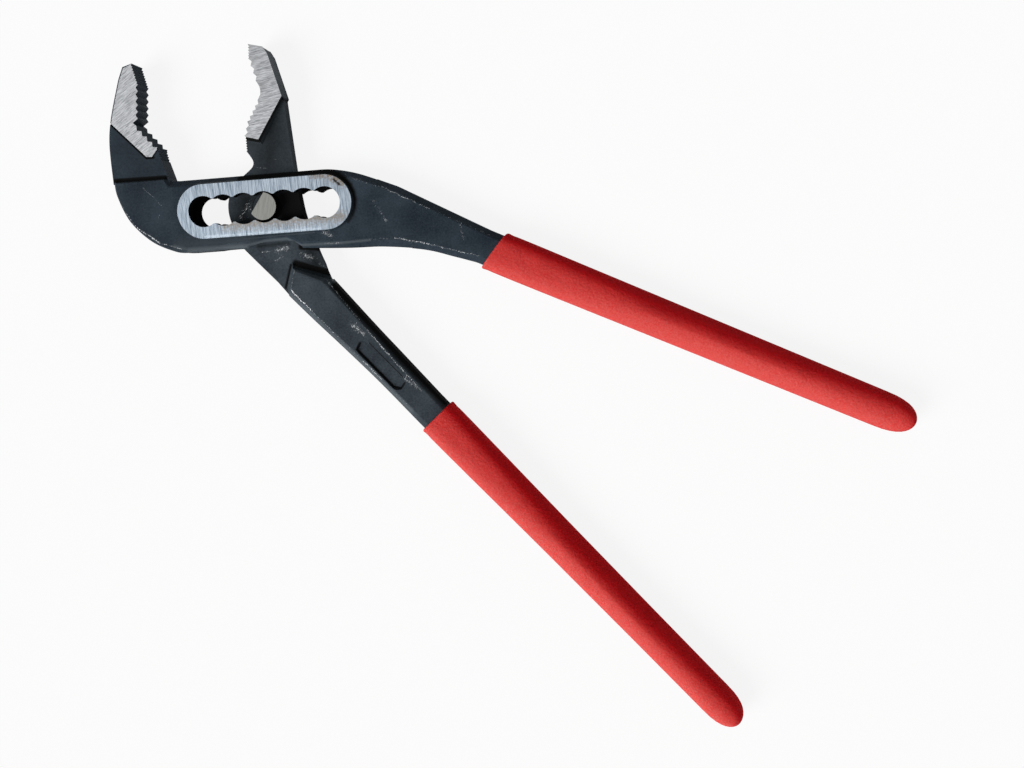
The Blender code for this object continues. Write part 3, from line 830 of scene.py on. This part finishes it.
# Inner lever
# The second drop forging: the right jaw, a thin neck through the box's window, and the lower arm.
# The arm is as thick as the other one, so it ends in a steep shoulder below the box, and it has
# a shallow pressed recess before the grip. Only the side of its jaw is ground bright.
ARM_RIM = 2.2
neck_end = [
    spot(5.5, -31.5),
    spot(14.0, -32.0),
    spot(21.5, -28.6),
    spot(20.2, -26.2),
    spot(19.2, -23.6),
]
neck_root = [spot(5.0, 38.5), spot(-1.0, 30.0), spot(-3.0, 27.0)]
neck_outline = neck_jaw_side() + neck_end + neck_handle_side() + neck_root


def inner_arm_outline():
    """The lower arm, clockwise from its shoulder on the side of the other handle."""
    tang_half = inner_handle.half_width(0.0) - inner_handle.shell
    outer_edge = smooth([
        spot(21.4, -27.6, ARM_RIM),
        spot(34.2, -43.7, ARM_RIM),
        spot(43.9, -55.5, ARM_RIM),
        inner_handle.at(-TANG_LEAD, tang_half, ARM_RIM),
    ])
    inner_edge = smooth([
        inner_handle.at(-TANG_LEAD, -tang_half, ARM_RIM),
        spot(34.4, -63.6, ARM_RIM),
        spot(22.0, -50.0, ARM_RIM),
        spot(13.3, -40.7, ARM_RIM),
        spot(4.9, -31.4, ARM_RIM),
    ])
    shoulder = [spot(4.4, -28.4, ARM_RIM), spot(7.2, -20.0, ARM_RIM), spot(19.3, -25.3, ARM_RIM)]
    return outer_edge + inner_handle.tang(0.0, ARM_RIM) + inner_edge + shoulder


def inner_jaw_teeth():
    """The right jaw's teeth from the neck to its tip, with a round gap between coarse rows."""
    fine_end = spot(-0.9, 50.6)
    upper_end = spot(1.0, 43.0)
    lower_start = spot(1.0, 36.4)
    lower_middle = spot(-3.4, 29.6)
    lower_end = spot(-4.8, 24.9)
    return (
        teeth(lower_end, lower_middle, 2, COARSE_TOOTH)[:-1]
        + teeth(lower_middle, lower_start, 4, COARSE_TOOTH)
        + [spot(2.1, 38.2), spot(2.3, 39.6), spot(2.0, 41.2)]
        + teeth(upper_end, fine_end, 3, COARSE_TOOTH)[:-1]
        + teeth(fine_end, spot(-0.5, 55.1), 5, FINE_TOOTH)
    )


RECESS_LENGTH = 21.4
RECESS_WIDTH = 4.7
RECESS_DEPTH = 1.0
RECESS_SLOPE = 0.4
RECESS_STEPS = 16

# The round end nearest the grip, along and across the handle
RECESS_END = (-18.2, -0.9)

# Each step of the recess wall: how far out from the recess width and how high from the face
RECESS_WALL = (
    (-0.25, -RECESS_DEPTH),
    (0.0, -RECESS_DEPTH + 0.15),
    (RECESS_SLOPE, 0.0),
    (RECESS_SLOPE, OVERRUN),
)


def recess_cutter(side):
    """A slot-shaped cutter with sloping walls, for the front (side 1) or the back (side -1)."""
    near = inner_handle.at(*RECESS_END)
    far = near - inner_handle.axis * (RECESS_LENGTH - RECESS_WIDTH)
    heading = inner_handle.heading
    face = MIDDLE + side * BAR_THICKNESS / 2
    rings = []
    for grow, height in RECESS_WALL:
        radius = RECESS_WIDTH / 2 + grow
        outline = arc(near, radius, heading - 90, heading + 90, RECESS_STEPS)
        outline += arc(far, radius, heading + 90, heading + 270, RECESS_STEPS)
        rings.append(level_ring(outline, face + side * height))
    return solid_from_rings("arm_recess", rings)


FACET_DEPTH = 1.7
FACET_HEADROOM = 2.0


def neck_facet_cutter(side):
    """A wedge that slopes the neck's face away from a crease towards its edge by the handles."""
    crease = [Vector((10.6, -13.0)), Vector((7.3, -21.8))]
    edge = [Vector((23.7, -17.9)), Vector((20.4, -26.7))]
    face = MIDDLE + side * NECK_THICKNESS / 2
    sunk = face - side * FACET_DEPTH
    low = [
        Vector((*crease[0], face)),
        Vector((*edge[0], sunk)),
        Vector((*edge[1], sunk)),
        Vector((*crease[1], face)),
    ]
    return solid_from_rings("neck_facet", [low, level_ring(low, face + side * FACET_HEADROOM)])


inner_lever = forged_plate("inner_lever_forging", inner_arm_outline(), BAR_THICKNESS)
combine(inner_lever, forged_plate("neck", neck_outline, NECK_THICKNESS), "UNION")
right_jaw = [
    spot(-6.6, 27.4),
    spot(-4.5, 24.6),
    spot(-0.2, 23.4),
    spot(9.4, 37.2),
    spot(5.8, 51.5),
    spot(4.4, 54.0),
    spot(-0.5, 55.2),
    spot(-6.6, 55.2),
]
combine(inner_lever, forged_plate("right_jaw", right_jaw, JAW_THICKNESS), "UNION")


def jaw_skirt():
    """The slope from the right jaw's ground side down to the neck, on both faces."""
    edge = [spot(-4.5, 24.6), spot(-0.2, 23.4), spot(9.3, 37.1), spot(2.0, 37.1)]
    foot = [spot(-4.9, 23.2), spot(0.5, 21.5), spot(9.5, 35.4), spot(2.0, 37.1)]
    edge_half = JAW_THICKNESS / 2 - OVERLAP
    foot_half = NECK_THICKNESS / 2 - OVERLAP
    levels = ((edge, -edge_half), (foot, -foot_half), (foot, foot_half), (edge, edge_half))
    rings = [level_ring(outline, MIDDLE + height) for outline, height in levels]
    return solid_from_rings("jaw_skirt", rings)


combine(inner_lever, jaw_skirt(), "UNION")
inner_mouth = inner_jaw_teeth() + [spot(-0.5, 60.0), spot(-20.0, 60.0), spot(-20.0, 24.9)]
cut_through(inner_lever, "inner_jaw_mouth", inner_mouth)
PIN_RADIUS = 5.0
PIN_POINTS = 96


def round_outline(radius):
    """A circle about the pin's axis."""
    return arc(Vector((0.0, 0.0)), radius, 0, 360, PIN_POINTS)[:-1]


cut_through(inner_lever, "pin_bore", round_outline(PIN_RADIUS + RUNNING_GAP))
for side in (1, -1):
    combine(inner_lever, recess_cutter(side), "DIFFERENCE")
    combine(inner_lever, neck_facet_cutter(side), "DIFFERENCE")

# Where the inner lever's finish is worn through; painted shade under the cheeks, in corners, on the
# sloped facet and along the sides turned from the lamp, with the upper neck plainly darker; and painted
# highlights along the arm's edge that faces the lamp
INNER_WEAR = [
    ((6.5, -29.2), (8.4, -22.6), 0.6, 0.7),
    ((6.6, -29.4), (9.4, -32.8), 0.7, 1.0),
    ((9.4, -32.8), (13.0, -36.9), 0.6, 0.95),
    ((13.0, -36.9), (23.0, -48.2), 0.5, 0.66),
    ((23.0, -48.2), (30.0, -56.0), 0.7, 0.5),
    ((30.0, -56.0), (36.0, -62.8), 0.8, 0.85),
    ((36.0, -62.8), (46.0, -74.0), 0.7, 0.55),
    ((18.6, -25.6), (32.5, -45.4), 0.6, 0.7),
    ((32.5, -45.4), (44.0, -60.2), 0.7, 0.85),
    ((44.0, -60.2), (50.0, -68.0), 0.8, 0.8),
    ((27.4, -43.0), (31.0, -46.4), 2.8, 0.8),
    ((44.5, -63.0), (48.5, -66.6), 2.0, 0.76),
    ((-3.6, -15.6), (0.0, -15.2), 1.3, 0.74),
    ((2.2, -15.4), (5.6, -14.2), 2.8, 0.8),
    ((1.3, -18.8), (3.5, -17.4), 1.2, 0.76),
    ((11.5, -17.4), (14.6, -18.8), 3.2, 0.76),
    ((16.3, -20.6), (19.0, -22.5), 1.4, 0.6),
    ((-9.5, -2.5), (-6.0, 2.0), 4.0, 0.62),
    ((-2.5, 14.2), (1.0, 13.2), 0.35, 0.75),
    ((4.0, 16.4), (6.0, 16.0), 0.35, 0.7),
]
INNER_SHADE_AND_DARKENING = [
    ((8.0, 0.0), (14.0, -0.5), 9.0, 1.0),
    ((-4.5, -13.2), (6.5, -12.9), 1.4, 0.3),
    ((11.0, -14.6), (17.5, -15.6), 1.6, 0.9),
    ((13.5, -14.0), (15.5, -21.0), 6.0, 0.4),
    ((8.4, -20.2), (19.4, -24.0), 1.8, 0.9),
    ((6.6, -20.6), (4.0, -28.4), 0.8, 0.6),
    ((22.5, -29.0), (43.9, -55.5), 2.5, 0.9),
    ((43.9, -55.5), (58.0, -72.0), 2.5, 0.9),
    ((-4.6, 24.2), (-0.2, 23.0), 1.2, 0.9),
    ((0.4, 23.4), (9.4, 36.4), 0.9, 0.5),
    ((28.0, -51.7), (40.0, -65.7), 0.5, 1.0),
    ((32.8, -49.9), (43.7, -62.5), 0.5, 0.5),
    ((40.0, -65.7), (42.6, -66.5), 0.5, 1.0),
    ((42.6, -66.5), (44.2, -64.6), 0.5, 0.7),
    ((28.2, -51.6), (29.4, -49.6), 0.5, 0.6),
    ((-4.5, -1.0), (-0.8, 4.6), 2.6, 0.34),
    ((2.5, 16.0), (4.0, 30.0), 14.0, 0.36),
    ((-9.0, -2.0), (-7.0, 3.0), 6.0, 0.42),
]
INNER_HIGHLIGHTS = [
    ((5.8, -31.0), (22.7, -49.4), 1.3, 0.35),
    ((22.7, -49.4), (45.5, -74.5), 1.5, 0.45),
]
INNER_DEEP = (0.018, 0.024, 0.030, 1.0)
INNER_PALE = (0.052, 0.066, 0.078, 1.0)
inner_black = black_finish(
    "black_forging_inner", INNER_DEEP, INNER_PALE, INNER_WEAR, INNER_SHADE_AND_DARKENING, INNER_HIGHLIGHTS
)
RIGHT_JAW_GRAIN = 8.0
inner_jaw_steel = ground_steel(
    "ground_right_jaw", RIGHT_JAW_GRAIN, JAW_DARK, JAW_PALE, JAW_ROUGHNESS, streaks=JAW_STREAKS
)
dress(inner_lever, [(inner_jaw_steel, on_face(JAW_THICKNESS / 2)), (inner_black, anywhere)])
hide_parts("inner_lever")
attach(inner_lever, "inner_lever")


# Pivot pin
# A turned steel pin pressed into the inner lever's neck. Each end has one flat, which lets it
# pass between the cusps of the slot when the handles are spread wide.
PIN_FLAT_OFFSET = 2.2
PIN_FLAT_ANGLE = 144.0
PIN_EDGE = 0.2
PIN_SLACK = 0.25
PRESS_DEPTH = 0.15
BORE_FILM = 0.05
PIN_DARK = (0.135, 0.135, 0.13, 1.0)
PIN_PALE = (0.205, 0.205, 0.192, 1.0)
PIN_GRAIN = 75.0
PIN_ROUGHNESS = 0.45

# The pin's ends lie a little off the middle of their notch, within its play
PIN_SEAT = Vector((-0.33, 0.25, 0.0))
bpy.ops.object.select_all(action="DESELECT")
bpy.ops.mesh.primitive_cylinder_add(
    vertices=PIN_POINTS, radius=(PIN_RADIUS - PIN_SLACK) * MM, depth=PAD_TOP * MM
)
pin = bpy.context.object
pin.name = "flatted_pin"
pin.location = (PIN_SEAT.x * MM, PIN_SEAT.y * MM, MIDDLE * MM)
bpy.ops.object.transform_apply(location=True, rotation=False, scale=False)
flat_out = direction(PIN_FLAT_ANGLE)
flat_along = Vector((-flat_out.y, flat_out.x, 0.0))
clear = 2 * PIN_RADIUS
flat_corners = [
    (PIN_FLAT_OFFSET, -clear),
    (clear, -clear),
    (clear, clear),
    (PIN_FLAT_OFFSET, clear),
]
pin_flat = [flat_out * out + flat_along * along + PIN_SEAT for out, along in flat_corners]
cut_both_faces(pin, "pin_flat", pin_flat, NECK_THICKNESS / 2)
ease = pin.modifiers.new("broken_edges", "BEVEL")
ease.width = PIN_EDGE * MM
ease.segments = 3
ease.limit_method = "ANGLE"
ease.angle_limit = math.radians(50.0)
bpy.ops.object.modifier_apply(modifier=ease.name)

# In the neck the pin is thicker and fills its bore
core_half = NECK_THICKNESS / 2 - PRESS_DEPTH
core = round_outline(PIN_RADIUS + RUNNING_GAP - BORE_FILM)
combine(pin, plate("pin_core", core, MIDDLE - core_half, MIDDLE + core_half), "UNION")
pin_steel = ground_steel("ground_pin", PIN_GRAIN, PIN_DARK, PIN_PALE, PIN_ROUGHNESS)
on_pin_end = on_face(PAD_TOP / 2)


def on_ground_pin(middle, normal):
    """A test for the pin's two ends and the walls of their flats."""
    return on_pin_end(middle, normal) or normal.dot(flat_out) > FLAT_ENOUGH


dress(pin, [
    (pin_steel, on_ground_pin),
    (inner_black, on_face(NECK_THICKNESS / 2)),
    # The rest of the pin, in the slot and the bore, gets the slot's painted shade
    (slot_shade, anywhere),
])
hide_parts("pivot_pin")
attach(pin, "pivot")


# Dipped grips
# Each handle was dipped in liquid vinyl, which set as one soft coat with a matte, pebbled skin.
# At its mouth the coat is nearly as square as the bar inside, and further down it has a soft ridge
# along each face.
GRIP_HALF_THICKNESS = 6.0
RING_POINTS = 64
MOUTH_POWER = 2.9

# The power that shapes the coat's section, at places along the handle
SECTION_POWERS = ((0.0, MOUTH_POWER), (62.0, 1.66), (105.0, 1.66), (Handle.straight, 2.1))

# The hollow for the bar, and the rings of the skin, the last of them by their turn about the tip
HOLLOW_PLAY = 0.04
HOLLOW_MOUTH = 0.3
HOLLOW_TURNS = (84, 70, 55, 40, 25, 12, 0)
SLANT_FADE = 26.0
LIP_END = 6.0
BODY_RINGS = 24
TIP_POWER = 2.5
TIP_THICKNESS_POWER = 4.5
TIP_TURNS = (12, 24, 36, 46, 55, 63, 70, 76, 81, 85, 88)

# How far each step of the rolled lip stands out from the coat, and how far along the handle it lies
LIP_STEPS = (
    (-1.0, 0.05),
    (-0.75, 0.0),
    (-0.35, 0.08),
    (-0.1, 0.3),
    (0.0, 0.7),
    (-0.06, 1.4),
    (-0.14, 2.4),
    (-0.05, 4.5),
)


def grip_ring(handle, along, half_width, half_thickness, power, lean=0.0):
    """One rounded ring about the handle; lean is the share of the mouth's slant that it keeps."""
    ring = []
    for step in range(RING_POINTS):
        angle = 2 * math.pi * (step + 0.5) / RING_POINTS
        across = math.copysign(abs(math.cos(angle)) ** (2 / power), math.cos(angle)) * half_width
        up = math.copysign(abs(math.sin(angle)) ** (2 / power), math.sin(angle)) * half_thickness
        place = handle.at(along + lean * across * math.tan(handle.slant), across)
        ring.append(Vector((*place.xy, MIDDLE + up)))
    return ring


def hollow_ring(handle, along, half_width, half_height, rim, lean=0.0):
    """One ring inside the coat, with the same flat chamfers as the bar."""
    ring = []
    for step in range(RING_POINTS):
        angle = 2 * math.pi * (step + 0.5) / RING_POINTS
        across = math.cos(angle) * half_width
        up = math.sin(angle) * half_height
        to_wall = min(half_width / abs(across), half_height / abs(up))
        to_chamfer = (half_width + half_height - 0.98 * rim) / (abs(across) + abs(up))
        reach = min(to_wall, to_chamfer)
        place = handle.at(along + lean * across * reach * math.tan(handle.slant), across * reach)
        ring.append(Vector((*place.xy, MIDDLE + up * reach)))
    return ring


def section_power(along):
    """The power that shapes a ring: squarer than an ellipse above 2, ridged below 2."""
    for (start, first), (end, second) in zip(SECTION_POWERS, SECTION_POWERS[1:]):
        if along <= end:
            return first + (second - first) * (along - start) / (end - start)
    return SECTION_POWERS[-1][1]


def dipped_grip(name, handle):
    """One coat: up its hollow from the tip to the mouth, over the rolled lip, and down its skin."""
    rings = []
    reach = handle.tip_length - handle.tip_coat
    hollow_height = BAR_THICKNESS / 2 + HOLLOW_PLAY
    hollow_tip = handle.half_width(handle.straight) - handle.shell + HOLLOW_PLAY
    for turn in HOLLOW_TURNS:
        along = handle.straight + reach * math.sin(math.radians(turn)) + HOLLOW_PLAY
        half = hollow_tip * math.cos(math.radians(turn)) + HOLLOW_PLAY
        rings.append(hollow_ring(handle, along, half, hollow_height, handle.tip_rim))
    hollow_mouth = handle.half_width(0.0) - handle.shell + HOLLOW_PLAY
    rings.append(hollow_ring(handle, HOLLOW_MOUTH, hollow_mouth, hollow_height, ARM_RIM, 1.0))
    for grow, along in LIP_STEPS:
        half = handle.half_width(along) + grow
        rings.append(grip_ring(handle, along, half, GRIP_HALF_THICKNESS + grow, MOUTH_POWER, 1.0))
    for step in range(1, BODY_RINGS + 1):
        along = LIP_END + (handle.straight - LIP_END) * step / BODY_RINGS
        lean = max(1.0 - along / SLANT_FADE, 0.0)
        half = handle.half_width(along)
        power = section_power(along)
        rings.append(grip_ring(handle, along, half, GRIP_HALF_THICKNESS, power, lean))
    half_tip = handle.half_width(handle.straight)
    for turn in TIP_TURNS:
        out = math.sin(math.radians(turn)) ** (2 / TIP_POWER)
        narrow = math.cos(math.radians(turn)) ** (2 / TIP_POWER)
        thin = math.cos(math.radians(turn)) ** (2 / TIP_THICKNESS_POWER)
        along = handle.straight + (handle.tip_length - handle.tip_trim) * out
        power = section_power(along)
        rings.append(grip_ring(handle, along, half_tip * narrow, GRIP_HALF_THICKNESS * thin, power))
    return solid_from_rings(name, rings)


VINYL_DEEP = (0.48, 0.006, 0.009, 1.0)
VINYL_BRIGHT = (0.54, 0.009, 0.012, 1.0)
VINYL_PAINTED_LIGHT = (0.56, 0.078, 0.068, 1.0)
VINYL_ROUGHNESS = (0.72, 0.82)
PEBBLE_SCALE = 1100.0
SWELL_SCALE = 160.0
SHADE_SCALE = 45.0
LIGHT_PATCH_SCALE = 1700.0

# The coats are painted paler on the side that faces the lamp: painted light
PAINTED_LIGHT_SIDE = (-0.7, -0.4, 0.6)


def red_vinyl(name):
    """Matte dipped vinyl: a pebbled skin, a little mottled, and painted paler on the side that faces
    the lamp.
    """
    material, tree, shader = new_material(name)
    place = object_place(tree)
    pebble = noise(tree, place, PEBBLE_SCALE, 3.0, 0.6)
    swell = noise(tree, place, SWELL_SCALE, 2.0)
    cloud = noise(tree, place, SHADE_SCALE, 3.0, 0.6)
    speck = noise(tree, place, LIGHT_PATCH_SCALE, 3.0, 0.6)
    colour = blend_colour(tree, cloud, VINYL_DEEP, VINYL_BRIGHT)
    # Painted light: the side that faces the lamp turns paler in patches
    towards = vector_maths(tree, "DOT_PRODUCT", object_normal(tree), PAINTED_LIGHT_SIDE)["Value"]
    lamp_facing = spread(tree, towards, 0.15, 1.0)
    patchy = spread(tree, speck, 0.3, 0.7, 0.55, 1.3)
    painted_light = maths(tree, "MULTIPLY", lamp_facing, patchy, clamp=True)
    colour = blend_colour(tree, painted_light, colour, VINYL_PAINTED_LIGHT)
    tree.links.new(colour, shader.inputs["Base Color"])
    rough = blend_value(tree, cloud, *VINYL_ROUGHNESS)
    tree.links.new(rough, shader.inputs["Roughness"])
    shader.inputs["Specular IOR Level"].default_value = 0.05
    shader.inputs["Subsurface Weight"].default_value = 0.3
    shader.inputs["Subsurface Radius"].default_value = (1.0, 0.12, 0.1)
    shader.inputs["Subsurface Scale"].default_value = 0.0015
    height = maths(tree, "ADD", pebble, maths(tree, "MULTIPLY", swell, 1.5))
    add_bump(tree, shader, height, strength=0.9, distance=0.00042)
    return material


vinyl = red_vinyl("red_dipped_vinyl")
for name, handle, node, body in (
    ("slotted_lever_coat", slotted_handle, "slotted_lever_grip", "slotted_lever"),
    ("inner_lever_coat", inner_handle, "inner_lever_grip", "inner_lever"),
):
    grip = dipped_grip(name, handle)
    dress(grip, [(vinyl, anywhere)])
    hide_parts(node)
    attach(grip, body)


# Setting
# The tool lies on a white sheet under one broad lamp at the lower left. Weak light comes from all
# round, a little more of it from the lower right than from the upper left.
FLOOR_SIZE = 30.0
SUN_FROM = Vector((-0.70, -0.375, 0.605))
SUN_SPREAD = 38.0
SUN_STRENGTH = 3.6
AMBIENT = 0.33
AMBIENT_LEAN = (0.15, -0.27, 0.0)
WHITE = (1.0, 1.0, 1.0, 1.0)
FLOOR_WHITE = (0.72, 0.72, 0.72, 1.0)
FLOOR_GLOW = 0.88


def seen_directly(tree):
    """1 for rays that show a surface as it looks (straight, mirrored or through glass), else 0."""
    path = add_node(tree, "ShaderNodeLightPath").outputs
    straight = maths(tree, "MAXIMUM", path["Is Camera Ray"], path["Is Glossy Ray"])
    return maths(tree, "MAXIMUM", straight, path["Is Transmission Ray"])


bpy.ops.object.select_all(action="DESELECT")
bpy.ops.mesh.primitive_plane_add(size=FLOOR_SIZE)
floor = bpy.context.object
floor.name = "white_sheet"
sheet, sheet_tree, sheet_shader = new_material("white_sheet")
sheet_shader.inputs["Base Color"].default_value = FLOOR_WHITE
sheet_shader.inputs["Roughness"].default_value = 0.9
sheet_shader.inputs["Specular IOR Level"].default_value = 0.0
glow = add_node(sheet_tree, "ShaderNodeEmission", {"Color": WHITE, "Strength": 1.0})
share = maths(sheet_tree, "MULTIPLY", seen_directly(sheet_tree), FLOOR_GLOW)
lit_inputs = {0: share, 1: sheet_shader.outputs[0], 2: glow.outputs[0]}
lit_sheet = add_node(sheet_tree, "ShaderNodeMixShader", lit_inputs)
sheet_tree.links.new(lit_sheet.outputs[0], sheet_tree.nodes["Material Output"].inputs["Surface"])
floor.data.materials.append(sheet)

bpy.ops.object.light_add(type="SUN")
sun = bpy.context.object
sun.name = "broad_lamp"
sun.rotation_euler = SUN_FROM.to_track_quat("Z", "Y").to_euler()
sun.data.energy = SUN_STRENGTH
sun.data.angle = math.radians(SUN_SPREAD)

world = bpy.data.worlds.new("white_room")
bpy.context.scene.world = world
world.use_nodes = True
room = world.node_tree
backdrop = room.nodes["Background"]
backdrop.inputs["Color"].default_value = WHITE
from_where = add_node(room, "ShaderNodeTexCoord").outputs["Generated"]
lean = vector_maths(room, "DOT_PRODUCT", from_where, AMBIENT_LEAN)["Value"]
ambient = maths(room, "ADD", lean, AMBIENT)
room_light = blend_value(room, seen_directly(room), ambient, 1.0)
room.links.new(room_light, backdrop.inputs["Strength"])

# The camera hangs a third of a metre up, a little to the upper right, and looks almost straight down
CAMERA_AT = Vector((114.848, -28.082, 348.0))
CAMERA_AIM = Vector((82.223, -67.089, 12.0))
CAMERA_RIGHT = Vector((0.99361, -0.07024, -0.08832))
CAMERA_LENS = 34.38
CAMERA_SENSOR = 36.0
bpy.ops.object.camera_add()
camera = bpy.context.object
camera.name = "photo_camera"
camera.data.lens = CAMERA_LENS
camera.data.sensor_width = CAMERA_SENSOR
camera.data.clip_start = 0.01
back = (CAMERA_AT - CAMERA_AIM).normalized()
right = (CAMERA_RIGHT - back * CAMERA_RIGHT.dot(back)).normalized()
turn = Matrix((right, back.cross(right), back)).transposed()
camera.matrix_world = Matrix.Translation(CAMERA_AT * MM) @ turn.to_4x4()
bpy.context.scene.camera = camera
bpy.context.scene.view_settings.view_transform = "Standard"
